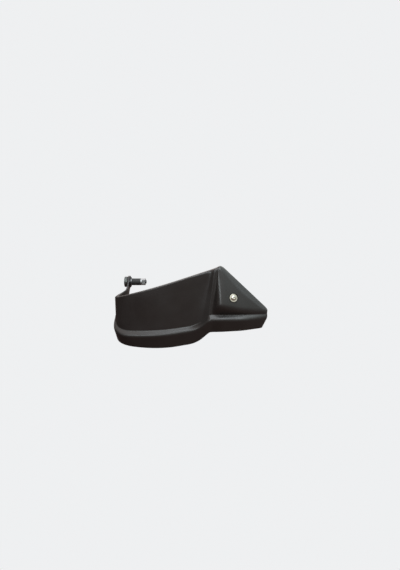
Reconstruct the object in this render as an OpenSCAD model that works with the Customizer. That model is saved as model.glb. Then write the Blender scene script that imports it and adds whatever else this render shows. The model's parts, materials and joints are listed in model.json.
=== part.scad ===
// Motorcycle hand guard, right side, seen from the front in its photograph.
// Origin: centre of the handlebar clamp, on the bar's axis.
// +X runs inboard along the bar, the shell faces -Y, +Z is up. Millimetres.

/* [Handlebar] */
// Outer diameter of the bar inside the clamp
bar_d = 22.2; // [20:0.1:30]
// Clamp centre to the bar's outer end
bar_reach = 202; // [180:1:230]

/* [Shell outline] */
// Wall thickness
wall = 3; // [2.5:0.1:3.5]
// Outer wall outboard of the ear's face
outer_bulge = 12.5; // [8:0.5:20]
// Corner forward of the bar axis
corner_y = 98; // [88:1:110]
// Top of the outer corner below the bar axis
corner_drop = 20; // [10:1:30]
// Fold at the outer corner below the bar axis
corner_fold = 86; // [78:1:95]
// Crown of the main panel outboard of the clamp
crown_x = 130; // [110:1:150]
// Crown forward of the bar axis
crown_y = 106; // [98:1:116]
// Top edge at the crown above the bar axis
crown_top = 3; // [-5:1:10]
// Fold at the crown below the bar axis
crown_fold = 84.5; // [76:0.5:92]
// Valley beside the block, at the top edge, outboard
valley_top_x = 28; // [24:1:34]
// Valley beside the block, at the fold, outboard
valley_fold_x = 56; // [52:1:60]
// Valley forward of the bar axis
valley_y = 92; // [88:1:96]
// Top edge at the valley above the bar axis
valley_top = 35; // [30:1:38]
// Fold at the valley below the bar axis
valley_fold = 75.5; // [74:0.5:78]
// Ridge of the block at the top edge, outboard
ridge_top_x = 20.5; // [19:0.5:22]
// Ridge of the block at the fold, outboard
ridge_fold_x = 31; // [29:0.5:33]
// Ridge forward of the bar axis at the top edge
ridge_top_y = 97; // [95:0.5:99]
// Ridge forward of the bar axis at the fold
ridge_fold_y = 103.5; // [101:0.5:106]
// Top edge at the ridge above the bar axis
ridge_top = 38; // [36:0.5:39]
// Width of the flat strip along the ridge
strip_w = 4.5; // [3.5:0.1:5.5]
// Fold under the block below the bar axis
block_fold = 52; // [50:1:54]

/* [Raised face] */
// Bolt centre inboard of the clamp centre
bolt_x = 16.6; // [14:0.2:19]
// Face forward of the bar axis at the bolt
bolt_y = 103.4; // [100:0.2:106]
// Bolt centre below the bar axis
bolt_z = 18.2; // [15:0.2:20]
// Tilt of the face's normal from straight up
face_tilt = 74.3; // [72:0.1:77]
// Turn of the face towards the bike
face_turn = 20.35; // [18:0.05:23]
// Peak outboard of the clamp centre
peak_x = 9; // [8:0.5:11]
// Peak above the bar axis
peak_z = 43; // [40:0.5:46]
// Lower outer corner of the face, outboard
wedge_x = 10; // [8:0.5:12]
// Lower outer corner of the face below the bar axis
wedge_z = 33; // [30:0.5:35]
// Place of the sloping edge's middle, inboard
brow_x = 30; // [26:1:34]
// Sloping edge's middle below the bar axis
brow_z = 3; // [0:0.5:6]
// Face's lower edge below the sloping edge's middle
brow_h = 39.5; // [37:0.5:42]
// Inner end of the face, inboard
end_x = 83; // [80:1:87]
// Inner end of the face below the bar axis
end_z = 44.5; // [43:0.5:46]
// Inner end forward of the bar axis at the fold
end_y = 87; // [85:0.5:89]
// Length of the end's return, running back
end_wall = 6; // [4:0.5:8]

/* [Ledge and skirt] */
// Width of the ledge
ledge_w = 9; // [7:0.5:11]
// Drop of the ledge across its width
ledge_drop = 8; // [6:0.5:9]
// Height of the skirt under the main panel
skirt_h = 31; // [26:1:36]
// Height of the skirt under the block
block_skirt_h = 30; // [26:1:33]
// Height of the skirt at the inner end
end_skirt_h = 23.5; // [21:0.5:26]
// How far the skirt leans back over its height
skirt_lean = 12; // [8:0.5:15]

/* [Edges] */
// Depth of the rolled lip along the top edge
lip_d = 8; // [7:0.5:10]
// Rise of the lip's rear edge
lip_rise = 0.8; // [0:0.1:2]
// Spread of the flange along the sloping edge
flange_out = 7; // [5:0.5:9]
// Depth of that flange, running back
flange_back = 10; // [8:0.5:13]
// Rise of that flange at its middle
flange_up = 8; // [6:0.5:10]
// Rounding of the outer corner, seen from above
corner_round = 42; // [30:1:50]
// Rounding of the crown, seen from above
crown_round = 44; // [30:1:50]
// Rounding of the valley beside the block
valley_round = 18; // [12:1:20]
// Rounding of the strip's two sides
ridge_round = 2.8; // [2:0.1:3.5]
// Rounding of the raised face's outer edge
peak_round = 4; // [3.5:0.1:6]
// Rounding of the ledge and skirt where they step up beside the block
step_round = 7; // [6:0.5:9]
// Rounding of the sloping edge's middle
brow_round = 10; // [8:1:20]
// Rounding of the inner end
end_round = 8; // [7:0.5:10]
// Rounding of the top edge
edge_round = 6.5; // [6:0.1:7]
// Rounding of the face's lower edge
wedge_round = 5; // [4.5:0.1:8]
// Rounding of the fold over the ledge
fold_round = 2.2; // [1.5:0.1:4.5]
// Rounding of the ledge's edge
ledge_round = 4.9; // [4.8:0.1:5.5]

/* [Shell bolt] */
// Thread diameter of the shell's bolt
bolt_d = 6; // [5:1:6]
// Radius of the recess round the bolt
recess_r = 9.4; // [9:0.1:10.5]
// Depth of that recess
recess_h = 1.5; // [1:0.1:1.8]
// Radius of the boss behind the face
boss_r = 13; // [12:0.5:14]
// Height of the boss behind the wall
boss_h = 5; // [3:0.5:6]
// Wall of the steel sleeve in the boss
sleeve_t = 1.4; // [1:0.1:1.8]
// Radius of the washer under the head
washer_r = 8; // [7.5:0.1:8.6]
// Thickness of that washer
washer_t = 1.5; // [1:0.1:1.8]
// Radius of the button head
button_r = 5.25; // [5:0.05:6]
// Height of the button head
button_h = 3.3; // [3:0.1:3.6]
// Width across flats of the head's socket
key_w = 4; // [3:0.5:4]
// Radius of the rubber pad behind the boss
pad_r = 11; // [9:0.5:12]
// Thickness of the rubber pad
pad_t = 2; // [1.5:0.1:3]
// Width across flats of the M6 nuts
nut_w = 10; // [10:0.5:11]
// Height of the M6 nuts
nut_h = 6; // [5:0.5:6.5]
// Radius of the nut's flange
nut_flange_r = 6.6; // [6.2:0.1:7]
// Gap round a bolt or sleeve in its hole
play = 0.3; // [0.2:0.05:0.5]

/* [Bracket] */
// Thickness of the bracket's plate
bracket_t = 4; // [3:0.5:5]
// Half length of the bend
bend_half = 13; // [11:0.5:15]
// Radius of the bend's rounded back
bend_r = 2.6; // [2.6:0.1:4]
// How far the bend's round ends stand past the plates
bend_over = 0.8; // [0.5:0.1:1.5]
// Radius of the bracket's end at the shell bolt
tab_r = 11.5; // [10:0.5:13]
// How much narrower the plates are than their round ends, each side
neck = 1.5; // [1:0.1:2.5]
// Radius of the bracket's end at the pivot
arm_r = 12; // [10:0.5:12.5]
// Pivot forward of the bar axis
pivot_y = 30; // [29:0.5:34]
// Radius of the plain washer at the pivot
plain_r = 6.5; // [6:0.1:7]
// Thickness of that washer
plain_t = 1.6; // [1.2:0.1:2]
// Height of the pivot bolt's hexagon head
hex_h = 4; // [3.5:0.5:5]

/* [Clamp] */
// Length of the clamp along the bar
clamp_l = 20; // [16:1:24]
// Outer radius of the clamp round the bar
clamp_r = 17; // [16:0.5:17.5]
// Gap between the clamp's halves
clamp_gap = 1; // [0.6:0.1:1.6]
// Thickness of the clamp's screw flanges
clamp_t = 9; // [8:0.5:10]
// Screws above and below the bar axis
screw_z = 18; // [17.8:0.1:19]
// Screw centre to the flange's end
screw_edge = 6.5; // [6.4:0.1:8]
// Thickness of the clamp's lug
lug_t = 8; // [6:0.5:8]
// Radius of a screw's cylinder head
cap_r = 5; // [4.8:0.1:5.2]
// Height of a screw's cylinder head
cap_h = 6; // [5:0.5:6.5]
// Radius of the washers under the clamp's screws
ring_r = 6; // [5.6:0.1:6.2]
// Thickness of those washers
ring_t = 1.2; // [1:0.1:1.6]
// Width across flats of the screws' sockets
cap_key_w = 5; // [4:0.5:5]

/* [Bar end] */
// Radius of the ear's round pad
ear_r = 13.5; // [12.5:0.5:15]
// Thickness of the ear's round pad
ear_t = 4.5; // [4:0.1:6]
// Thickness of the spacer on the bar's end
spacer_t = 2; // [1.5:0.1:4]
// Radius of the spacer
spacer_r = 11; // [10:0.5:12]
// Thread diameter of the long bolt
end_bolt_d = 8; // [6:1:8]
// Wall of the bush in the ear
bush_t = 1.7; // [1.4:0.1:2.5]
// Radius of the bush's flange
bush_flange_r = 10; // [9:0.5:11]
// Thickness of the bush's flange
bush_flange_t = 1.5; // [1:0.1:2]
// Radius of the end cap
cap_end_r = 11.5; // [10:0.5:13]
// Thickness of the end cap
cap_end_t = 6; // [5.5:0.5:9]
// Depth of the cap's recess for the bolt head
cap_recess = 3.5; // [3:0.1:4]
// Radius of the long bolt's head
end_head_r = 6.5; // [6:0.1:7]
// Height of the long bolt's head
end_head_h = 4; // [3:0.1:4.4]
// Radius of the expander's rubber
plug_r = 7.6; // [7:0.05:7.8]
// Length of the expander's rubber
plug_l = 20; // [16:1:26]
// Radius of the steel ends of the expander
plug_end_r = 7.4; // [7:0.05:7.6]
// Thickness of the washer in the bar's end
thrust_t = 1.5; // [1.2:0.1:2.5]
// Length of the expander's nut
plug_nut_l = 10; // [8:0.5:14]
// Width of the flat cut on each side of the nut's tail
plug_flat = 11; // [10:0.5:13]

/* [View] */
// Node to draw

/* [Hidden] */
$fn = 64;
// Samples along a rounded corner and along a straight, both ways over the shell
turn_n = 5;
run_n = 3;
fold_n = 4;

bar_r = bar_d / 2;
bolt_r = bolt_d / 2;
bolt_hole = bolt_r + play;
end_bolt_r = end_bolt_d / 2;
end_hole = end_bolt_r + play;
sleeve_r = bolt_hole + sleeve_t;
bush_r = end_hole + bush_t;

// Places along the bar's end, going outboard from the bar's end face
ear_in = -bar_reach - spacer_t;
ear_x = ear_in - ear_t;
bush_x = ear_x - bush_flange_t;
cap_x = bush_x - cap_end_t;
side_x = ear_x - outer_bulge;
// Ear's sheet, its pad standing proud by the same amount on both faces
sheet_x = ear_x + (ear_t - wall) / 2;

// Normal of the raised face and the two directions in it
face_n = [sin(face_tilt) * sin(face_turn), -sin(face_tilt) * cos(face_turn), cos(face_tilt)];
face_u = [cos(face_turn), sin(face_turn), 0];
face_v = [-cos(face_tilt) * sin(face_turn), cos(face_tilt) * cos(face_turn), sin(face_tilt)];
face_o = [bolt_x, -bolt_y, -bolt_z];

// Depths behind the raised face
boss_w = -wall - boss_h;
pad_w = boss_w - pad_t;
tab_w = pad_w - bracket_t;

// Point of the raised face's plane, lowered by w, at a given x and z
function face_y(x, z, w = 0) = face_o.y + (w - face_n.x * (x - face_o.x) - face_n.z * (z - face_o.z)) / face_n.y;
function on_face(x, z) = [x, face_y(x, z), z];
function in_face(p) = [(p - face_o) * face_u, (p - face_o) * face_v];

// Bend of the bracket: where its two plates' middle planes meet
function bend(z) = [0, face_y(0, z, tab_w + bracket_t / 2), z];
bend_top = bend(-bolt_z + bend_half);
bend_low = bend(-bolt_z - bend_half);
bend_l = norm(bend_top - bend_low);
bend_a = atan2(bend_low.y - bend_top.y, bend_top.z - bend_low.z);

// Rails of the shell at one place, from its rear lip down to its lower edge
function unit(v) = v / norm(v);
function side_row(x, y, top, low) = [
  [x, y, top],
  [x, y, top - 0.14 * (top - low)],
  [x, y, top - 0.32 * (top - low)],
  [x, y, top - 0.5 * (top - low)],
  [x, y, top - 0.75 * (top - low)],
  [x, y, low]];
function hang(out, f, t, w, width, drop, h, lean, lip) = let (
    n = unit(out),
    l = f + [n.x * width, n.y * width, -drop])
  [t + lip, t, w, f, l, l - [n.x * lean, n.y * lean, h]];
// The rail between fold and top edge, a share of the way up where no face is raised
function between(f, t, up = 16) = f + (t - f) * min(0.5, up / norm(t - f));

corner_t = [side_x, -corner_y, -corner_drop];
corner_f = [side_x + 1, -corner_y - 1, -corner_fold];
crown_t = [-crown_x, -crown_y, crown_top];
crown_f = [-crown_x, -crown_y + 2, -crown_fold];
valley_t = [-valley_top_x, -valley_y, valley_top];
valley_f = [-valley_fold_x, -valley_y - 2.5, -valley_fold];
ridge_t = [-ridge_top_x, -ridge_top_y, ridge_top];
ridge_f = [-ridge_fold_x, -ridge_fold_y, -block_fold - 1.5];
foot_t = ridge_t + [strip_w, 0.7, 1.9];
foot_f = ridge_f + [strip_w, 1, 1.2];
wall_t = [side_x, -corner_y + 48, -corner_drop + 1];
wall_f = [side_x - 1, -corner_y + 48, -corner_drop - 20];
end_low = (end_z + block_fold + 1.5) / 2;
block_f = -block_fold - 1;

rows = [
  side_row(sheet_x, 9, 8, -8),
  side_row(sheet_x, -9, 9.5, -20),
  side_row(sheet_x - 0.5, -24, -12, -46),
  hang([-1, -0.1], wall_f, wall_t, between(wall_f, wall_t), 1, 3, 45, 2, [7, 0, 1]),
  hang([-1, -1], corner_f, corner_t, between(corner_f, corner_t), ledge_w, ledge_drop,
    skirt_h - 10, skirt_lean - 1, [lip_d * 0.7, lip_d * 0.7, lip_rise]),
  hang([0, -1], crown_f, crown_t, between(crown_f, crown_t), ledge_w, ledge_drop,
    skirt_h, skirt_lean, [0, lip_d, lip_rise]),
  hang([0, -1], valley_f, valley_t, between(valley_f, valley_t), ledge_w, ledge_drop - 1,
    skirt_h, skirt_lean, [0, lip_d, lip_rise]),
  hang([0, -1], ridge_f, ridge_t, between(ridge_f, ridge_t, 8), ledge_w - 1, ledge_drop,
    block_skirt_h - 2, skirt_lean, [0, lip_d + 1, lip_rise]),
  hang([0.3, -1], foot_f, foot_t, between(foot_f, foot_t, 8), ledge_w, ledge_drop,
    block_skirt_h - 2, skirt_lean, [0.5, lip_d + 1.5, lip_rise]),
  hang([0, -1], [-wedge_x + 4, foot_f.y - 1.5, -block_fold], on_face(-peak_x, peak_z),
    on_face(-wedge_x, -wedge_z), ledge_w, ledge_drop, block_skirt_h - 2.5, skirt_lean,
    [2, flange_back, 2]),
  hang([0.1, -1], [brow_x + 5, -99, block_f], on_face(brow_x, -brow_z), on_face(brow_x, -brow_z - brow_h),
    ledge_w, ledge_drop, block_skirt_h - 4.5, skirt_lean, [flange_out, flange_back, flange_up - 1]),
  hang([0.9, -0.45], [end_x + 1.5, -end_y, block_f - 0.5], on_face(end_x, -end_z),
    on_face(end_x + 0.5, -end_low), 3.5, ledge_drop - 1, end_skirt_h, skirt_lean, [5, 8, 2]),
  hang([1, -0.3], [end_x + 4, -end_y + end_wall, block_f - 0.5],
    [end_x + 4.5, -end_y + end_wall, -end_z - 4], [end_x + 4.3, -end_y + end_wall, -end_low - 2.2],
    1, ledge_drop - 1, end_skirt_h - 0.5, skirt_lean - 1.5, [3, 5, 1])];

row_round = [0, 8, 8, 16, corner_round, crown_round, valley_round, ridge_round, ridge_round,
  peak_round, brow_round, end_round, 0];
low_round = [0, 8, 8, 16, corner_round, crown_round, valley_round, step_round, step_round - 2,
  peak_round + 2, brow_round, end_round, 0];
rail_round = [0, edge_round, wedge_round, fold_round, ledge_round, 0];
// Largest share of a straight that a corner may use, before it and after it
row_before = [0, 0.9, 0.48, 0.48, 0.48, 0.48, 0.48, 0.48, 0.48, 0.48, 0.48, 0.48, 0];
row_after = [0, 0.48, 0.48, 0.48, 0.48, 0.48, 0.48, 0.48, 0.48, 0.48, 0.48, 0.9, 0];
rail_before = [0, 0.9, 0.48, 0.25, 0.7, 0];
rail_after = [0, 0.48, 0.7, 0.25, 0.9, 0];

// A line of points with each corner rounded, and the straights cut into steps
function toward(p, q, back, share) = p + (q - p) * min(back / norm(q - p), share);
function curve(a, p, b, t) = a * (1 - t) * (1 - t) + p * 2 * t * (1 - t) + b * t * t;
function soft_line(p, back, share_in, share_out, turns, runs) = let (
    last = len(p) - 1,
    a = [for (j = [0 : last]) j == 0 || j == last ? p[j] : toward(p[j], p[j - 1], back[j], share_in[j])],
    b = [for (j = [0 : last]) j == 0 || j == last ? p[j] : toward(p[j], p[j + 1], back[j], share_out[j])])
  [for (j = [0 : last]) each concat(
    j == 0 || j == last ? [p[j]] : [for (i = [0 : turns]) curve(a[j], p[j], b[j], i / turns)],
    j == last || runs < 2 ? [] : [for (i = [1 : runs - 1]) b[j] + (a[j + 1] - b[j]) * i / runs])];

rails = [for (i = [0 : 5])
  soft_line([for (r = rows) r[i]], i > 3 ? low_round : row_round, row_before, row_after, turn_n, run_n)];
along = len(rails[0]);
outer = [for (k = [0 : along - 1])
  soft_line([for (i = [0 : 5]) rails[i][k]], rail_round, rail_before, rail_after, fold_n, 1)];
across = len(outer[0]);

// Inner face: every point of the outer face moved in by the wall
function gap_to(a, b) = max(norm(b - a), 0.02);
function heading(a, p, b) = unit((b - p) * gap_to(a, p) / gap_to(p, b) + (p - a) * gap_to(p, b) / gap_to(a, p));
function run_u(k, i) = k == 0 ? unit(outer[1][i] - outer[0][i])
  : k == along - 1 ? unit(outer[k][i] - outer[k - 1][i])
  : heading(outer[k - 1][i], outer[k][i], outer[k + 1][i]);
function run_v(k, i) = i == 0 ? unit(outer[k][1] - outer[k][0])
  : i == across - 1 ? unit(outer[k][i] - outer[k][i - 1])
  : heading(outer[k][i - 1], outer[k][i], outer[k][i + 1]);
inner = [for (k = [0 : along - 1]) [for (i = [0 : across - 1])
  outer[k][i] + unit(cross(run_u(k, i), run_v(k, i))) * wall]];

function id(k, i) = k * across + i;
far = along * across;
skin_points = concat([for (r = outer) each r], [for (r = inner) each r]);
skin_faces = concat(
  [for (k = [0 : along - 2]) for (i = [0 : across - 2]) each
    [[id(k, i), id(k + 1, i), id(k + 1, i + 1)], [id(k, i), id(k + 1, i + 1), id(k, i + 1)]]],
  [for (k = [0 : along - 2]) for (i = [0 : across - 2]) each
    [[far + id(k, i), far + id(k + 1, i + 1), far + id(k + 1, i)],
     [far + id(k, i), far + id(k, i + 1), far + id(k + 1, i + 1)]]],
  [for (k = [0 : along - 2]) each
    [[id(k, 0), far + id(k, 0), far + id(k + 1, 0)], [id(k, 0), far + id(k + 1, 0), id(k + 1, 0)]]],
  [for (k = [0 : along - 2]) let (i = across - 1) each
    [[id(k, i), far + id(k + 1, i), far + id(k, i)], [id(k, i), id(k + 1, i), far + id(k + 1, i)]]],
  [for (i = [0 : across - 2]) each
    [[id(0, i), id(0, i + 1), far + id(0, i + 1)], [id(0, i), far + id(0, i + 1), far + id(0, i)]]],
  [for (i = [0 : across - 2]) let (k = along - 1) each
    [[id(k, i), far + id(k, i + 1), id(k, i + 1)], [id(k, i), far + id(k, i), far + id(k, i + 1)]]]);

// Puts a child on the raised face, its Z axis pointing out of it
module at_bolt(w = 0) {
  translate(face_o) rotate([face_tilt, 0, face_turn]) translate([0, 0, w]) children();
}

// Cylinder along the bar from x, of length l
module along_bar(x, r, l) {
  translate([x, 0, 0]) rotate([0, 90, 0]) cylinder(r = r, h = l);
}

module shell() {
  color([0.10, 0.10, 0.11]) difference() {
    union() {
      polyhedron(points = skin_points, faces = skin_faces, convexity = 8);
      at_bolt(boss_w) cylinder(r = boss_r, h = boss_h + wall / 2);
      along_bar(ear_x, ear_r, ear_t);
    }
    at_bolt(-recess_h) cylinder(r = recess_r, h = recess_h + 6);
    at_bolt(boss_w - 1) cylinder(r = sleeve_r + play, h = boss_h + wall + 2);
    along_bar(ear_x - 1, bush_r + play, ear_t + 2);
  }
}

module shell_bolt() {
  head_w = washer_t - recess_h;
  color([0.80, 0.79, 0.74]) difference() {
    union() {
      at_bolt(head_w) rotate_extrude() polygon([
        [0, 0], [button_r, 0], [button_r, 0.6], [button_r - 0.5, 1.6], [button_r - 1.4, 2.5],
        [button_r - 2.6, 3.1], [button_r - 3.4, button_h], [0, button_h]]);
      at_bolt(tab_w - nut_h - 2) cylinder(r = bolt_r, h = head_w - tab_w + nut_h + 2);
    }
    at_bolt(head_w + 1.2) cylinder(r = key_w / sqrt(3), h = button_h, $fn = 6);
  }
}

module shell_washer() {
  color([0.82, 0.80, 0.72]) at_bolt(-recess_h) difference() {
    cylinder(r = washer_r, h = washer_t);
    translate([0, 0, -1]) cylinder(r = bolt_hole, h = washer_t + 2);
  }
}

module shell_sleeve() {
  color([0.72, 0.73, 0.74]) at_bolt(pad_w) difference() {
    cylinder(r = sleeve_r, h = -recess_h - pad_w);
    translate([0, 0, -1]) cylinder(r = bolt_hole, h = 2 - recess_h - pad_w);
  }
}

module shell_pad() {
  color([0.07, 0.07, 0.07]) at_bolt(pad_w) difference() {
    cylinder(r = pad_r, h = pad_t);
    translate([0, 0, -1]) cylinder(r = sleeve_r + play, h = pad_t + 2);
  }
}

// Hexagon nut standing on the plane z = 0, with a flange of the given radius
module hex_nut(flange_r) {
  difference() {
    union() {
      cylinder(r = nut_w / sqrt(3), h = nut_h, $fn = 6);
      cylinder(r = flange_r, h = 1.2);
    }
    translate([0, 0, -1]) cylinder(r = bolt_hole, h = nut_h + 2);
  }
}

module shell_nut() {
  color([0.75, 0.75, 0.76]) at_bolt(tab_w) mirror([0, 0, 1]) hex_nut(nut_flange_r);
}

module bracket() {
  top = in_face(bend_top);
  low = in_face(bend_low);
  mid = [(bend_top.y + bend_low.y) / 2, -bolt_z];
  run = unit([-pivot_y, 0] - mid);
  side = [-run.y, run.x] * (arm_r - neck);
  half = tab_r - neck;
  color([0.16, 0.16, 0.17]) difference() {
    union() {
      translate([-bracket_t / 2, 0, 0]) rotate([90, 0, 90]) linear_extrude(height = bracket_t) polygon([
        [bend_top.y, bend_top.z], [-pivot_y, 0] + side, [-pivot_y, 0] - side, [bend_low.y, bend_low.z]]);
      translate([-bracket_t / 2, -pivot_y, 0]) rotate([0, 90, 0]) cylinder(r = arm_r, h = bracket_t);
      at_bolt(tab_w) linear_extrude(height = bracket_t) polygon([top, low, [0, -half], [0, half]]);
      at_bolt(tab_w) cylinder(r = tab_r, h = bracket_t);
      translate(bend_low) rotate([bend_a, 0, 0]) translate([0, 0, -bend_over])
        cylinder(r = bend_r, h = bend_l + 2 * bend_over);
    }
    at_bolt(tab_w - 1) cylinder(r = bolt_hole, h = bracket_t + 2);
    translate([-bracket_t, -pivot_y, 0]) rotate([0, 90, 0]) cylinder(r = bolt_hole, h = 2 * bracket_t);
  }
}

// Puts a child on the pivot's axis, its Z axis pointing inboard
module at_pivot(x) {
  translate([x, -pivot_y, 0]) rotate([0, 90, 0]) children();
}

lug_x = -bracket_t / 2 - lug_t;
module pivot_bolt() {
  tail = bracket_t / 2 + plain_t + nut_h + 2;
  color([0.75, 0.75, 0.76]) union() {
    at_pivot(lug_x - hex_h) cylinder(r = nut_w / sqrt(3), h = hex_h, $fn = 6);
    at_pivot(lug_x - 0.5) cylinder(r = bolt_r, h = tail - lug_x + 0.5);
  }
}

module pivot_washer() {
  color([0.75, 0.75, 0.76]) at_pivot(bracket_t / 2) difference() {
    cylinder(r = plain_r, h = plain_t);
    translate([0, 0, -1]) cylinder(r = bolt_hole, h = plain_t + 2);
  }
}

module pivot_nut() {
  color([0.75, 0.75, 0.76]) at_pivot(bracket_t / 2 + plain_t) hex_nut(nut_w / 2);
}

// One half of the clamp: side -1 in front of the bar, side 1 behind it
module clamp_half(side) {
  y0 = side < 0 ? -clamp_gap / 2 - clamp_r : clamp_gap / 2;
  y1 = side < 0 ? -clamp_gap / 2 - clamp_t : clamp_gap / 2;
  h = screw_z + screw_edge;
  intersection() {
    along_bar(-clamp_l / 2, clamp_r, clamp_l);
    translate([-clamp_l / 2, y0, -clamp_r]) cube([clamp_l, clamp_r, 2 * clamp_r]);
  }
  translate([-clamp_l / 2, y1, -h]) cube([clamp_l, clamp_t, 2 * h]);
}

module clamp_holes() {
  along_bar(-clamp_l, bar_r, 2 * clamp_l);
  for (z = [-screw_z, screw_z])
    translate([0, 2 * clamp_r, z]) rotate([90, 0, 0]) cylinder(r = bolt_hole, h = 4 * clamp_r);
}

module clamp_body() {
  color([0.13, 0.13, 0.14]) difference() {
    union() {
      clamp_half(-1);
      translate([lug_x, -pivot_y, -arm_r]) cube([lug_t, pivot_y - bar_r - 1.5, 2 * arm_r]);
      at_pivot(lug_x) cylinder(r = arm_r, h = lug_t);
    }
    clamp_holes();
    at_pivot(lug_x - 1) cylinder(r = bolt_hole, h = lug_t + 2);
  }
}

seat_y = clamp_gap / 2 + clamp_t;
module clamp_cap() {
  color([0.13, 0.13, 0.14]) difference() {
    clamp_half(1);
    clamp_holes();
    for (z = [-screw_z, screw_z])
      translate([0, seat_y + clamp_r, z]) rotate([90, 0, 0]) cylinder(r = ring_r + play, h = clamp_r);
  }
}

module clamp_screws() {
  color([0.20, 0.20, 0.21]) for (z = [-screw_z, screw_z]) difference() {
    union() {
      translate([0, seat_y + ring_t + cap_h, z]) rotate([90, 0, 0]) cylinder(r = cap_r, h = cap_h);
      translate([0, seat_y + ring_t + 1, z]) rotate([90, 0, 0])
        cylinder(r = bolt_r, h = 2 * clamp_t + clamp_gap + ring_t + 0.8);
    }
    translate([0, seat_y + ring_t + cap_h + 1, z]) rotate([90, 0, 0])
      cylinder(r = cap_key_w / sqrt(3), h = cap_h / 2 + 1, $fn = 6);
  }
}

module clamp_washers() {
  color([0.75, 0.75, 0.76]) for (z = [-screw_z, screw_z])
    translate([0, seat_y + ring_t, z]) rotate([90, 0, 0]) difference() {
      cylinder(r = ring_r, h = ring_t);
      translate([0, 0, -1]) cylinder(r = bolt_hole, h = ring_t + 2);
    }
}

module end_cap() {
  color([0.22, 0.23, 0.22]) difference() {
    along_bar(cap_x, cap_end_r, cap_end_t);
    along_bar(cap_x - 1, end_hole, cap_end_t + 2);
    along_bar(cap_x - 1, end_head_r + play, cap_recess + 1);
  }
}

head_x = cap_x + cap_recess;
nut_x = -bar_reach + thrust_t + plug_l;
module end_bolt() {
  color([0.25, 0.25, 0.26]) difference() {
    union() {
      along_bar(head_x - end_head_h, end_head_r, end_head_h);
      along_bar(head_x - 0.5, end_bolt_r, nut_x + plug_nut_l + 2 - head_x + 0.5);
    }
    translate([head_x - end_head_h - 1, 0, 0]) rotate([0, 90, 0])
      cylinder(r = cap_key_w / sqrt(3), h = end_head_h - 0.8, $fn = 6);
  }
}

module ear_bush() {
  color([0.30, 0.30, 0.30]) difference() {
    union() {
      along_bar(bush_x, bush_flange_r, bush_flange_t);
      along_bar(bush_x, bush_r, bush_flange_t + ear_t);
    }
    along_bar(bush_x - 1, end_hole, bush_flange_t + ear_t + 2);
  }
}

module end_spacer() {
  color([0.70, 0.71, 0.72]) difference() {
    along_bar(ear_in, spacer_r, spacer_t);
    along_bar(ear_in - 1, end_hole, spacer_t + 2);
  }
}

module thrust_washer() {
  color([0.70, 0.71, 0.72]) difference() {
    along_bar(-bar_reach, plug_end_r, thrust_t);
    along_bar(-bar_reach - 1, end_hole, thrust_t + 2);
  }
}

module plug_rubber() {
  color([0.07, 0.07, 0.07]) difference() {
    along_bar(-bar_reach + thrust_t, plug_r, plug_l);
    along_bar(-bar_reach + thrust_t - 1, end_hole, plug_l + 2);
  }
}

module plug_nut() {
  color([0.70, 0.71, 0.72]) difference() {
    along_bar(nut_x, plug_end_r, plug_nut_l);
    along_bar(nut_x - 1, end_hole, plug_nut_l + 2);
    for (s = [-1, 1])
      translate([nut_x + 3, s > 0 ? plug_flat / 2 : -plug_flat / 2 - 4, -10]) cube([plug_nut_l, 4, 20]);
  }
}

shell();
shell_bolt();
shell_washer();
shell_sleeve();
shell_pad();
shell_nut();
bracket();
pivot_bolt();
pivot_washer();
pivot_nut();
clamp_body();
clamp_cap();
clamp_screws();
clamp_washers();
end_cap();
end_bolt();
ear_bush();
end_spacer();
thrust_washer();
plug_rubber();
plug_nut();
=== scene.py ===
import json
import math

import bmesh
import bpy
import numpy as np
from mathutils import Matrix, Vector


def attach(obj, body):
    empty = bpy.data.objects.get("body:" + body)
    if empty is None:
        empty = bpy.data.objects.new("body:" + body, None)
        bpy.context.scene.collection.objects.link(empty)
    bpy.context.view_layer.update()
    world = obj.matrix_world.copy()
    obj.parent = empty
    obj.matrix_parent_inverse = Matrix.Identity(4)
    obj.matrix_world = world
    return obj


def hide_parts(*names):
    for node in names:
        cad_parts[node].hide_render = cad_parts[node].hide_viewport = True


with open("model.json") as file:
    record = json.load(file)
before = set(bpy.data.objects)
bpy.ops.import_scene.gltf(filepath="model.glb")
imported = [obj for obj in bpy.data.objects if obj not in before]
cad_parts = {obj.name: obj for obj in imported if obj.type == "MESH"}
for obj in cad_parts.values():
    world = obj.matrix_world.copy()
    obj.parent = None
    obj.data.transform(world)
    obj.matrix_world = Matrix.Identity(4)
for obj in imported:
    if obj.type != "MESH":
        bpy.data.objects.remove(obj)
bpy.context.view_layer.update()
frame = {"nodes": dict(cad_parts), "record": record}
nodes = frame["nodes"]
scene = bpy.context.scene
MM = 0.001

# Shell, in mm: rails run along the guard through rows from the ear to the inner end
WALL = 3.0
RIM = 0.9
EAR_X = -208.5
SHEET_X = EAR_X + 0.75
SIDE_X = EAR_X - 12.45

# Raised face of the block: a point in its plane, its outward direction and its level direction
TILT = math.radians(74.3)
TURN = math.radians(20.35)
FACE_O = np.array([16.6, -103.4, -18.2])
FACE_N = np.array([math.sin(TILT) * math.sin(TURN), -math.sin(TILT) * math.cos(TURN), math.cos(TILT)])
LEVEL = (math.cos(TURN), math.sin(TURN), 0)

# Where the turns along a rail begin, in mm from each row, and the share of the way that they may take
ROW_ROUND = [0, 8, 8, 16, 42, 44, 18, 2.8, 2.8, 11.5, 10, 8, 0]
LEDGE_ROUND = ROW_ROUND[:7] + [7, 5, 6] + ROW_ROUND[10:]
ROW_SHARE = [0.48] * 8 + [0.4, 0.58, 0.48, 0.48, 0.48]
ROW_TURNS = 14
ROW_RUNS = [6] * 12

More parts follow.
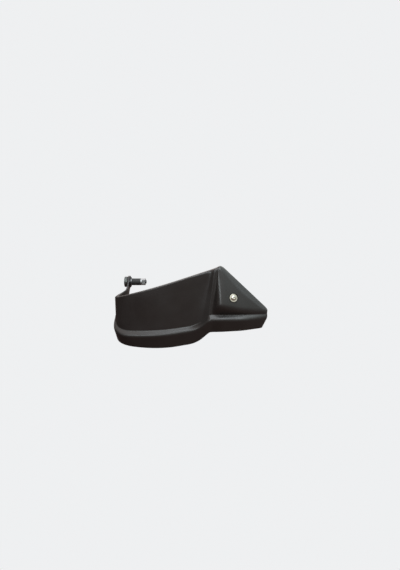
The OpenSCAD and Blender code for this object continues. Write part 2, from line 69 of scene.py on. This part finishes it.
# The same for the turns across the rails: top edge, face, fold and ledge
TOP_X = [-70, -25]
TOP_ROUND = [2.4, 6.5]
FACE_ROUND = 7.5
FOLD_ROUND = 1.4
LEDGE_EDGE_ROUND = 5.8
CROSS_IN = [0, 0.9, 0.48, 0.25, 0.7, 0]
CROSS_OUT = [0, 0.48, 0.7, 0.25, 0.9, 0]
CROSS_TURNS = 9
CROSS_RUNS = [1, 6, 4, 2, 5]
RIM_STEPS = 6

# Lathe profiles on the shell as radius and place along the axis, in mm, and where each begins
BOSS = [(13.0, 0), (13.0, 5.6), (14.5, 6.6), (14.5, 7.2)]
BOSS_W = -8.0
PAD = [(13.0, 0), (13.5, 0.5), (13.5, 4.0), (13.0, 4.5)]
RECESS = [(9.4, 0), (9.4, 1.0), (9.8, 1.5), (10.4, 2.1), (10.4, 6)]
RECESS_W = -1.5
SLEEVE_HOLE = [(5.0, 0), (5.0, 12)]
SLEEVE_HOLE_W = -10
EAR_HOLE = [(6.3, 0), (6.3, 8)]
EAR_HOLE_X = EAR_X - 2

# Fasteners, in mm: along the pivot line from the bracket's middle, or out of the raised face
HEX_W = 10
BOLT_R = 3.0
BORE_R = 3.1
PIVOT = (0, -30, 0)
ALONG = (1, 0, 0)
DOWN = (0, 0, -1)
PIVOT_HEAD = (-14, -10)
PIVOT_NUT = (3.6, 9.6)
THREAD_PAST = 2
SHELL_NUT = (-20, -14)
COLLAR = [(5.2, -15.6), (6.2, -15.0), (6.6, -14.7), (6.6, -14.2), (6.4, -14)]
BUTTON_R = 5.25
BUTTON_SIDE = 0.6
BUTTON_DOME = 2.7
KEY_W = 4
KEY_FLOOR = 1.2
KEY_TOP = 6


def on_face(x, z):
    """The point of the raised face's plane at this x and z."""
    y = FACE_O[1] - (FACE_N[0] * (x - FACE_O[0]) + FACE_N[2] * (z - FACE_O[2])) / FACE_N[1]
    return np.array([x, y, z])


def at_face(w):
    """The point this far out of the raised face, on the screw's axis."""
    return FACE_O + FACE_N * w


def side_row(x, y, top, low):
    """A row in the outer wall: its six points share one upright line."""
    return [[x, y, top - s * (top - low)] for s in (0, 0.14, 0.32, 0.5, 0.75, 1)]


def between(f, t, up=16.0):
    """A point on the way from f to t, no further than up."""
    f, t = np.array(f, float), np.array(t, float)
    return f + (t - f) * min(0.5, up / np.linalg.norm(t - f))


def hang(out, f, t, w, width, drop, h, lean, lip):
    """A row of the front: lip, top edge t, face w, fold f, ledge edge and the skirt's bottom."""
    n = np.array([out[0], out[1], 0.0])
    n /= np.linalg.norm(n)
    f, t = np.array(f, float), np.array(t, float)
    ledge = f + n * width - [0, 0, drop]
    return [t + np.array(lip, float), t, np.array(w, float), f, ledge, ledge - n * lean - [0, 0, h]]


def shell_rows():
    side_t, side_f = (SIDE_X, -50, -19), (SIDE_X - 1, -50, -40)
    corner_t, corner_f = (SIDE_X, -98, -20), (SIDE_X + 1, -99, -86)
    crown_t, crown_f = (-130, -106, 3), (-130, -104, -84.5)
    valley_t, valley_f = (-28, -92, 35), (-56, -94.5, -75.5)
    ridge_t, ridge_f = (-20.5, -97, 38), (-31, -103.5, -53.5)
    foot_t, foot_f = (-16, -96.3, 39.9), (-26.5, -102.5, -52.3)
    peak_f, brow_f, end_f, return_f = (-6, -104, -52), (35, -99, -53), (84.5, -87, -53.5), (87, -81, -53.5)

    ear_rear = side_row(SHEET_X, 9, 8, -8)
    ear_front = side_row(SHEET_X, -9, 9.5, -20)
    ear_base = side_row(SHEET_X - 0.5, -24, -12, -46)
    side = hang((-1, -0.1), side_f, side_t, between(side_f, side_t), 1, 3, 45, 2, (7, 0, 1))
    corner = hang((-1, -1), corner_f, corner_t, between(corner_f, corner_t), 9, 8, 21, 11, (5.6, 5.6, 0.8))
    crown = hang((0, -1), crown_f, crown_t, between(crown_f, crown_t), 9, 8, 31, 12, (0, 8, 0.8))
    valley = hang((0, -1), valley_f, valley_t, between(valley_f, valley_t), 9, 7, 31, 12, (0, 8, 0.8))
    ridge = hang((0, -1), ridge_f, ridge_t, between(ridge_f, ridge_t, 8), 8, 8, 28, 12, (0, 9, 0.8))
    foot = hang((0.3, -1), foot_f, foot_t, between(foot_f, foot_t, 8), 9, 8, 28, 12, (0.5, 9.5, 0.8))
    peak = hang((0, -1), peak_f, on_face(-9, 43), on_face(-10, -33), 9, 8, 27.5, 12, (2, 10, 2))
    brow = hang((0.1, -1), brow_f, on_face(30, -3), on_face(30, -42.5), 9, 8, 25.5, 12, (7, 10, 7))
    inner_end = hang((0.9, -0.45), end_f, on_face(83, -44.5), on_face(83.5, -49),
                     3.5, 7, 23.5, 12, (4, 8.6, 1.2))
    end_return = hang((1, -0.3), return_f, (87.5, -81, -48.5), (87.3, -81, -51.2),
                      1, 7, 23, 10.5, (1.4, 6.2, 0.3))
    return np.array([ear_rear, ear_front, ear_base, side, corner, crown, valley,
                     ridge, foot, peak, brow, inner_end, end_return], float)


def soft_line(p, back, share_in, share_out, turns, runs):
    """A line through p with a quadratic turn at each inner point and straight runs between."""
    last = len(p) - 1
    a, b = p.copy(), p.copy()
    for j in range(1, last):
        before, after = p[j - 1] - p[j], p[j + 1] - p[j]
        a[j] = p[j] + before * min(back[j] / np.linalg.norm(before), share_in[j])
        b[j] = p[j] + after * min(back[j] / np.linalg.norm(after), share_out[j])
    line = []
    for j in range(last + 1):
        if j in (0, last):
            line.append(p[j])
        else:
            for t in np.linspace(0, 1, turns + 1):
                line.append(a[j] * (1 - t) ** 2 + p[j] * 2 * t * (1 - t) + b[j] * t * t)
        if j < last:
            for i in range(1, runs[j]):
                line.append(b[j] + (a[j + 1] - b[j]) * i / runs[j])
    return np.array(line)


def headings(grid, axis):
    """Unit directions of the grid's lines along one axis, smooth where the steps differ in size."""
    g = np.moveaxis(grid, axis, 0)
    step = np.diff(g, axis=0)
    size = np.maximum(np.linalg.norm(step, axis=2, keepdims=True), 0.01)
    out = np.empty_like(g)
    out[0], out[-1] = step[0], step[-1]
    out[1:-1] = step[1:] * size[:-1] / size[1:] + step[:-1] * size[1:] / size[:-1]
    out /= np.linalg.norm(out, axis=2, keepdims=True)
    return np.moveaxis(out, 0, axis)


def shell_grid():
    """Outer and inner faces of the moulding as grids, drawn back at the rims, and their directions."""
    rows = shell_rows()
    share_in, share_out = [0, 0.9] + ROW_SHARE[2:], ROW_SHARE[:11] + [0.9, 0]
    rails = np.stack([
        soft_line(rows[:, i], LEDGE_ROUND if i > 3 else ROW_ROUND, share_in, share_out, ROW_TURNS, ROW_RUNS)
        for i in range(6)
    ], 1)
    outer = np.stack([
        soft_line(r, [0, np.interp(r[1, 0], TOP_X, TOP_ROUND), FACE_ROUND, FOLD_ROUND, LEDGE_EDGE_ROUND, 0],
                  CROSS_IN, CROSS_OUT, CROSS_TURNS, CROSS_RUNS)
        for r in rails
    ])
    u, v = headings(outer, 0), headings(outer, 1)
    n = np.cross(u, v)
    n /= np.linalg.norm(n, axis=2, keepdims=True)
    inner = outer + n * WALL
    for g in (outer, inner):
        g[0], g[-1] = g[0] + u[0] * RIM, g[-1] - u[-1] * RIM
        g[:, 0], g[:, -1] = g[:, 0] + v[:, 0] * RIM, g[:, -1] - v[:, -1] * RIM
    return outer, inner, u, v


def mesh_object(name, verts, faces):
    mesh = bpy.data.meshes.new(name)
    mesh.from_pydata([tuple(p) for p in verts], [], faces)
    work = bmesh.new()
    work.from_mesh(mesh)
    bmesh.ops.recalc_face_normals(work, faces=work.faces)
    work.to_mesh(mesh)
    work.free()
    obj = bpy.data.objects.new(name, mesh)
    scene.collection.objects.link(obj)
    return obj


def shell_skin():
    """The moulding as one closed mesh: both faces, joined all round by a rounded rim."""
    outer, inner, u, v = shell_grid()
    nk, ni = outer.shape[:2]
    far = nk * ni
    verts = list(outer.reshape(-1, 3)) + list(inner.reshape(-1, 3))
    faces = []
    for k in range(nk - 1):
        for i in range(ni - 1):
            a, b, c, d = k * ni + i, (k + 1) * ni + i, (k + 1) * ni + i + 1, k * ni + i + 1
            faces.append((a, b, c, d))
            faces.append((far + a, far + d, far + c, far + b))
    loop = [(k, 0) for k in range(nk)] + [(nk - 1, i) for i in range(1, ni)]
    loop += [(k, ni - 1) for k in range(nk - 2, -1, -1)] + [(0, i) for i in range(ni - 2, 0, -1)]
    ring = []
    for k, i in loop:
        away = np.zeros(3)
        away += -v[k, i] if i == 0 else v[k, i] if i == ni - 1 else 0
        away += -u[k, i] if k == 0 else u[k, i] if k == nk - 1 else 0
        mid, half = (outer[k, i] + inner[k, i]) / 2, (outer[k, i] - inner[k, i]) / 2
        line = [k * ni + i]
        for s in range(1, RIM_STEPS):
            t = math.pi * s / RIM_STEPS
            line.append(len(verts))
            verts.append(mid + half * math.cos(t) + away * RIM * math.sin(t))
        line.append(far + k * ni + i)
        ring.append(line)
    for one, two in zip(ring, ring[1:] + ring[:1]):
        for s in range(RIM_STEPS):
            faces.append((one[s], one[s + 1], two[s + 1], two[s]))
    return mesh_object("shell_moulding", np.array(verts) * MM, faces)


def stacked(name, rings, origin, axis, first=None):
    """A closed form of rings in mm: each is its place along the axis and the radii round it."""
    z = Vector(axis).normalized()
    x = Vector(first).normalized() if first else z.orthogonal().normalized()
    y = z.cross(x)
    o = Vector(origin)
    n = len(rings[0][1])
    verts, faces = [], []
    for h, radii in rings:
        for s, r in enumerate(radii):
            a = 2 * math.pi * s / n
            verts.append((o + z * h + x * (r * math.cos(a)) + y * (r * math.sin(a))) * MM)
    for k in range(0, (len(rings) - 1) * n, n):
        for s in range(n):
            t = (s + 1) % n
            faces.append((k + s, k + t, k + n + t, k + n + s))
    faces.append(tuple(range(n))[::-1])
    faces.append(tuple((len(rings) - 1) * n + s for s in range(n)))
    return mesh_object(name, verts, faces)


def turned(name, profile, origin, axis, segments=96, first=None):
    """A closed lathe form: profile is (radius, along) pairs in mm, turned about axis through origin."""
    return stacked(name, [(h, [r] * segments) for r, h in profile], origin, axis, first)


def threaded(name, r, low, high, origin, axis, pitch=1.0, depth=0.5):
    """A shank from low to high with a cut thread and a tapered tip."""
    rings = []
    for h in np.linspace(low, high, round((high - low) / pitch * 10) + 1):
        turns = h / pitch - np.arange(48) / 48
        cut = depth * np.abs(2 * (turns - np.floor(turns)) - 1)
        rings.append((h, list(np.minimum(r - cut, r - 0.9 + (high - h)))))
    return stacked(name, rings, origin, axis)


def combine(obj, other, how):
    """Applies a boolean of obj with other, which is used up."""
    m = obj.modifiers.new(how, "BOOLEAN")
    m.operation, m.object, m.solver = how, other, "MANIFOLD"
    bpy.context.view_layer.update()
    done = bpy.data.meshes.new_from_object(obj.evaluated_get(bpy.context.evaluated_depsgraph_get()))
    obj.modifiers.clear()
    obj.data = done
    bpy.data.objects.remove(other)


def hexagon(name, across, low, high, origin, axis, first):
    """A hexagon with its corners turned off at both ends."""
    corner = across / math.sqrt(3)
    obj = turned(name, [(corner, low), (corner, high)], origin, axis, 6, first)
    r, flat = corner + 0.05, across / 2 * 0.96
    c = (r - flat) * math.tan(math.radians(28))
    cone = turned("cone", [(flat, low), (r, low + c), (r, high - c), (flat, high)], origin, axis)
    combine(obj, cone, "INTERSECT")
    return obj


def bored(obj, r, low, high, origin, axis):
    """Cuts a bore with a small countersink at both ends."""
    hole = [(r + 0.45, low - 0.1), (r + 0.4, low), (r, low + 0.4),
            (r, high - 0.4), (r + 0.4, high), (r + 0.45, high + 0.1)]
    combine(obj, turned("hole", hole, origin, axis), "DIFFERENCE")


def smooth(obj, degrees=32):
    obj.data.polygons.foreach_set("use_smooth", [True] * len(obj.data.polygons))
    obj.data.set_sharp_from_angle(angle=math.radians(degrees))


class Paint:
    """A node material with a Principled shader and a few procedural textures in object space."""

    def __init__(self, name, rough, metal=0.0):
        self.mat = bpy.data.materials.new(name)
        self.mat.use_nodes = True
        self.tree = self.mat.node_tree
        self.bsdf = next(n for n in self.tree.nodes if n.type == "BSDF_PRINCIPLED")
        self.bsdf.inputs["Metallic"].default_value = metal
        self.bsdf.inputs["Roughness"].default_value = rough
        self.place = self.tree.nodes.new("ShaderNodeTexCoord").outputs["Object"]

    def noise(self, scale, detail=2.0, stretch=None):
        source = self.place
        if stretch:
            m = self.tree.nodes.new("ShaderNodeMapping")
            m.inputs["Scale"].default_value = stretch
            self.tree.links.new(source, m.inputs["Vector"])
            source = m.outputs["Vector"]
        n = self.tree.nodes.new("ShaderNodeTexNoise")
        n.inputs["Scale"].default_value = scale
        n.inputs["Detail"].default_value = detail
        self.tree.links.new(source, n.inputs["Vector"])
        return n.outputs["Fac"]

    def span(self, fac, low, high, start=0.3, end=0.7):
        m = self.tree.nodes.new("ShaderNodeMapRange")
        for key, value in (("From Min", start), ("From Max", end), ("To Min", low), ("To Max", high)):
            m.inputs[key].default_value = value
        self.tree.links.new(fac, m.inputs["Value"])
        return m.outputs["Result"]

    def add(self, a, b):
        m = self.tree.nodes.new("ShaderNodeMath")
        m.operation = "ADD"
        self.tree.links.new(a, m.inputs[0])
        self.tree.links.new(b, m.inputs[1])
        return m.outputs[0]

    def colour(self, fac, low, high):
        r = self.tree.nodes.new("ShaderNodeValToRGB")
        fill_ramp(r, [(0.3, low), (0.7, high)])
        self.tree.links.new(fac, r.inputs["Fac"])
        self.tree.links.new(r.outputs["Color"], self.bsdf.inputs["Base Color"])

    def rough(self, fac):
        self.tree.links.new(fac, self.bsdf.inputs["Roughness"])

    def bump(self, fac, height, strength):
        b = self.tree.nodes.new("ShaderNodeBump")
        b.inputs["Strength"].default_value = strength
        b.inputs["Distance"].default_value = height
        self.tree.links.new(fac, b.inputs["Height"])
        self.tree.links.new(b.outputs["Normal"], self.bsdf.inputs["Normal"])


def fill_ramp(node, stops):
    """Sets a colour ramp's stops from (place, colour) pairs."""
    elements = node.color_ramp.elements
    while len(elements) < len(stops):
        elements.new(0.5)
    for element, (where, value) in zip(elements, stops):
        element.position, element.color = where, (*value, 1)


def moulded(name, low, high, rough):
    """Moulded plastic or rubber: cloudy sheen, faint upright scuffs and a fine grain."""
    p = Paint(name, rough)
    p.colour(p.noise(38, 5), low, high)
    cloud = p.span(p.noise(22, 4), rough - 0.05, rough + 0.06)
    scuff = p.span(p.noise(300, 3, (0.12, 1, 0.5)), -0.015, 0.02, 0.4, 0.75)
    p.rough(p.add(cloud, scuff))
    p.bump(p.add(p.noise(2600, 2), p.noise(900, 1)), 0.000025, 0.8)
    p.bsdf.inputs["IOR"].default_value = 1.5
    return p.mat


def metal(name, low, high, rough):
    """Bare or plated metal with an uneven polish."""
    p = Paint(name, rough, 1.0)
    p.colour(p.noise(160, 4), low, high)
    p.rough(p.span(p.noise(420, 3), rough - 0.07, rough + 0.09))
    p.bump(p.noise(1500, 2), 0.00001, 0.7)
    return p.mat


def coated(name, low, high, rough):
    """Black powder coat or anodising."""
    p = Paint(name, rough, 0.25)
    p.colour(p.noise(90, 4), low, high)
    p.rough(p.span(p.noise(240, 3), rough - 0.06, rough + 0.07))
    p.bump(p.noise(1700, 2), 0.00003, 0.7)
    return p.mat


PAINT = {
    "shell_plastic": moulded("shell_plastic", (0.0112, 0.0096, 0.0092), (0.0152, 0.0134, 0.0128), 0.37),
    "stainless": metal("stainless", (0.56, 0.54, 0.46), (0.66, 0.63, 0.55), 0.30),
    "stainless_washer": metal("stainless_washer", (0.54, 0.50, 0.42), (0.64, 0.60, 0.52), 0.36),
    "zinc_steel": metal("zinc_steel", (0.30, 0.305, 0.31), (0.39, 0.395, 0.40), 0.46),
    "rubber": moulded("rubber", (0.012, 0.012, 0.012), (0.020, 0.020, 0.020), 0.72),
    "black_coat": coated("black_coat", (0.018, 0.018, 0.019), (0.027, 0.027, 0.028), 0.45),
    "black_alloy": coated("black_alloy", (0.020, 0.020, 0.022), (0.030, 0.030, 0.032), 0.38),
    "black_steel": metal("black_steel", (0.045, 0.045, 0.048), (0.070, 0.070, 0.072), 0.40),
    "end_cap_metal": metal("end_cap_metal", (0.085, 0.095, 0.090), (0.120, 0.130, 0.125), 0.42),
    "bush_plastic": moulded("bush_plastic", (0.040, 0.040, 0.041), (0.055, 0.055, 0.056), 0.5),
    "spacer_alloy": metal("spacer_alloy", (0.048, 0.048, 0.050), (0.072, 0.072, 0.075), 0.46),
}
SLOTS = {part["node"]: part["material_slot"] for part in frame["record"]["subparts"]}


def dress(obj, name):
    obj.data.materials.clear()
    obj.data.materials.append(PAINT[name])


def soften(obj):
    """Worn edges on a CAD node, by modifiers only."""
    obj.data.polygons.foreach_set("use_smooth", [True] * len(obj.data.polygons))
    weld = obj.modifiers.new("weld", "WELD")
    weld.merge_threshold = 0.00001
    bevel = obj.modifiers.new("bevel", "BEVEL")
    bevel.width, bevel.segments = 0.00035, 2
    bevel.limit_method, bevel.angle_limit = "ANGLE", math.radians(38)
    bevel.use_clamp_overlap = True
    normal = obj.modifiers.new("normal", "WEIGHTED_NORMAL")
    normal.keep_sharp = True
    normal.weight = 60


def stand_in(obj, node, degrees):
    """Shades obj and puts it in the place of a CAD node."""
    smooth(obj, degrees)
    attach(obj, "root")
    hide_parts(node)
    dress(obj, SLOTS[node])


def make_shell():
    skin = shell_skin()
    combine(skin, turned("boss", BOSS, at_face(BOSS_W), FACE_N), "UNION")
    combine(skin, turned("pad", PAD, (EAR_X, 0, 0), ALONG), "UNION")
    combine(skin, turned("recess", RECESS, at_face(RECESS_W), FACE_N), "DIFFERENCE")
    combine(skin, turned("hole", SLEEVE_HOLE, at_face(SLEEVE_HOLE_W), FACE_N), "DIFFERENCE")
    combine(skin, turned("ear", EAR_HOLE, (EAR_HOLE_X, 0, 0), ALONG), "DIFFERENCE")
    stand_in(skin, "shell", 32)


def make_pivot_bolt():
    bolt = hexagon("pivot_bolt_visual", HEX_W, *PIVOT_HEAD, PIVOT, ALONG, DOWN)
    shank = threaded("shank", BOLT_R, PIVOT_HEAD[1] - 0.4, PIVOT_NUT[1] + THREAD_PAST, PIVOT, ALONG)
    combine(bolt, shank, "UNION")
    stand_in(bolt, "pivot_bolt", 30)


def make_pivot_nut():
    nut = hexagon("pivot_nut_visual", HEX_W, *PIVOT_NUT, PIVOT, ALONG, DOWN)
    bored(nut, BORE_R, *PIVOT_NUT, PIVOT, ALONG)
    stand_in(nut, "pivot_nut", 30)


def make_shell_nut():
    nut = hexagon("shell_nut_visual", HEX_W, SHELL_NUT[0], SHELL_NUT[1] - 0.3, FACE_O, FACE_N, LEVEL)
    combine(nut, turned("collar", COLLAR, FACE_O, FACE_N), "UNION")
    bored(nut, BORE_R, *SHELL_NUT, FACE_O, FACE_N)
    stand_in(nut, "shell_nut", 30)


def make_shell_bolt():
    button = [(BUTTON_R - 0.25, 0), (BUTTON_R, 0.2), (BUTTON_R, BUTTON_SIDE)]
    dome = np.linspace(0.12, 1.08, 14)
    button += [(BUTTON_R * math.cos(a), BUTTON_SIDE + BUTTON_DOME * math.sin(a)) for a in dome]
    bolt = turned("shell_bolt_visual", button, FACE_O, FACE_N)
    combine(bolt, hexagon("socket", KEY_W, KEY_FLOOR, KEY_TOP, FACE_O, FACE_N, LEVEL), "DIFFERENCE")
    shank = [(BOLT_R, SHELL_NUT[1] + 0.1), (BOLT_R, 0.4)]
    combine(bolt, turned("tail", shank, FACE_O, FACE_N), "UNION")
    thread = threaded("thread", BOLT_R, 13.6, THREAD_PAST - SHELL_NUT[0], FACE_O, -FACE_N)
    combine(bolt, thread, "UNION")
    stand_in(bolt, "shell_bolt", 30)


def add_camera():
    """The camera as in the photograph."""
    data = bpy.data.cameras.new("camera")
    data.sensor_width = 36.0
    data.lens = 22.67
    data.clip_start, data.clip_end = 0.01, 20
    cam = bpy.data.objects.new("camera", data)
    cam.location = (-0.049, -0.7932, 0.1043)
    cam.rotation_euler = (math.radians(82), 0, 0)
    scene.collection.objects.link(cam)
    scene.camera = cam


def add_sky():
    """An open sky, bright overhead and dim at the horizon, and a pale backdrop for the camera."""
    world = bpy.data.worlds.new("sky")
    scene.world = world
    world.use_nodes = True
    tree = world.node_tree
    tree.nodes.clear()
    out = tree.nodes.new("ShaderNodeOutputWorld")
    coord = tree.nodes.new("ShaderNodeTexCoord")
    split = tree.nodes.new("ShaderNodeSeparateXYZ")
    up = tree.nodes.new("ShaderNodeMapRange")
    across = tree.nodes.new("ShaderNodeMapRange")
    ramp = tree.nodes.new("ShaderNodeValToRGB")
    tint = tree.nodes.new("ShaderNodeValToRGB")
    blend = tree.nodes.new("ShaderNodeMix")
    lit = tree.nodes.new("ShaderNodeBackground")
    seen = tree.nodes.new("ShaderNodeBackground")
    path = tree.nodes.new("ShaderNodeLightPath")
    mix = tree.nodes.new("ShaderNodeMixShader")
    for node in (up, across):
        node.inputs["From Min"].default_value, node.inputs["From Max"].default_value = -1.0, 1.0
    fill_ramp(ramp, [(0.0, (0.19, 0.135, 0.125)), (0.42, (0.24, 0.175, 0.165)), (0.5, (0.30, 0.27, 0.26)),
                     (0.62, (0.50, 0.51, 0.49)), (0.78, (0.95, 1.0, 1.02)), (1.0, (1.3, 1.4, 1.48))])
    fill_ramp(tint, [(0.0, (0.26, 0.22, 0.20)), (0.3, (0.42, 0.36, 0.34)), (0.5, (0.76, 0.70, 0.68)),
                     (0.72, (0.88, 0.91, 0.86)), (1.0, (0.74, 0.80, 0.80))])
    blend.data_type, blend.blend_type = "RGBA", "MULTIPLY"
    blend.inputs["Factor"].default_value = 1.0
    lit.inputs["Strength"].default_value = 1.5
    seen.inputs["Color"].default_value = (0.86, 0.87, 0.88, 1)
    for a, b in [
        (coord.outputs["Generated"], split.inputs[0]),
        (split.outputs["Z"], up.inputs["Value"]),
        (up.outputs["Result"], ramp.inputs["Fac"]),
        (split.outputs["X"], across.inputs["Value"]),
        (across.outputs["Result"], tint.inputs["Fac"]),
        (ramp.outputs["Color"], blend.inputs["A"]),
        (tint.outputs["Color"], blend.inputs["B"]),
        (blend.outputs["Result"], lit.inputs["Color"]),
        (path.outputs["Is Camera Ray"], mix.inputs[0]),
        (lit.outputs[0], mix.inputs[1]),
        (seen.outputs[0], mix.inputs[2]),
        (mix.outputs[0], out.inputs["Surface"]),
    ]:
        tree.links.new(a, b)


def softbox(name, place, aim, size, power, tint):
    data = bpy.data.lights.new(name, "AREA")
    data.shape, data.size, data.size_y = "RECTANGLE", size[0], size[1]
    data.energy, data.color = power, tint
    lamp = bpy.data.objects.new(name, data)
    lamp.location = place
    lamp.rotation_euler = (Vector(aim) - Vector(place)).to_track_quat("-Z", "Y").to_euler()
    scene.collection.objects.link(lamp)


for node_name, slot in SLOTS.items():
    dress(nodes[node_name], slot)
    if node_name != "shell":
        soften(nodes[node_name])

make_shell()
make_pivot_bolt()
make_pivot_nut()
make_shell_nut()
make_shell_bolt()

add_camera()
add_sky()
softbox("top_front", (0.15, -0.55, 1.05), (0.02, -0.10, -0.03), (0.9, 1.0), 11.8, (0.88, 0.96, 1.0))
softbox("top_left", (-0.70, -0.42, 0.95), (-0.15, -0.10, -0.05), (0.7, 0.8), 1.1, (1.0, 0.82, 0.74))
softbox("front_left", (-0.44, -1.05, 0.48), (0.0, -0.10, -0.02), (0.22, 0.18), 3.4, (0.90, 0.98, 1.0))
softbox("cool_side", (1.10, -0.42, 0.50), (0.03, -0.09, -0.02), (0.30, 0.30), 0.6, (0.85, 0.95, 1.0))
softbox("left_edge", (-1.0, 0.05, 0.35), (-0.22, -0.06, -0.05), (0.25, 0.5), 0.8, (1.0, 0.90, 0.86))
softbox("back", (-0.3, 0.9, 0.7), (-0.06, -0.03, -0.03), (0.9, 0.6), 3.0, (1.0, 0.88, 0.84))

scene.view_settings.view_transform = "Standard"
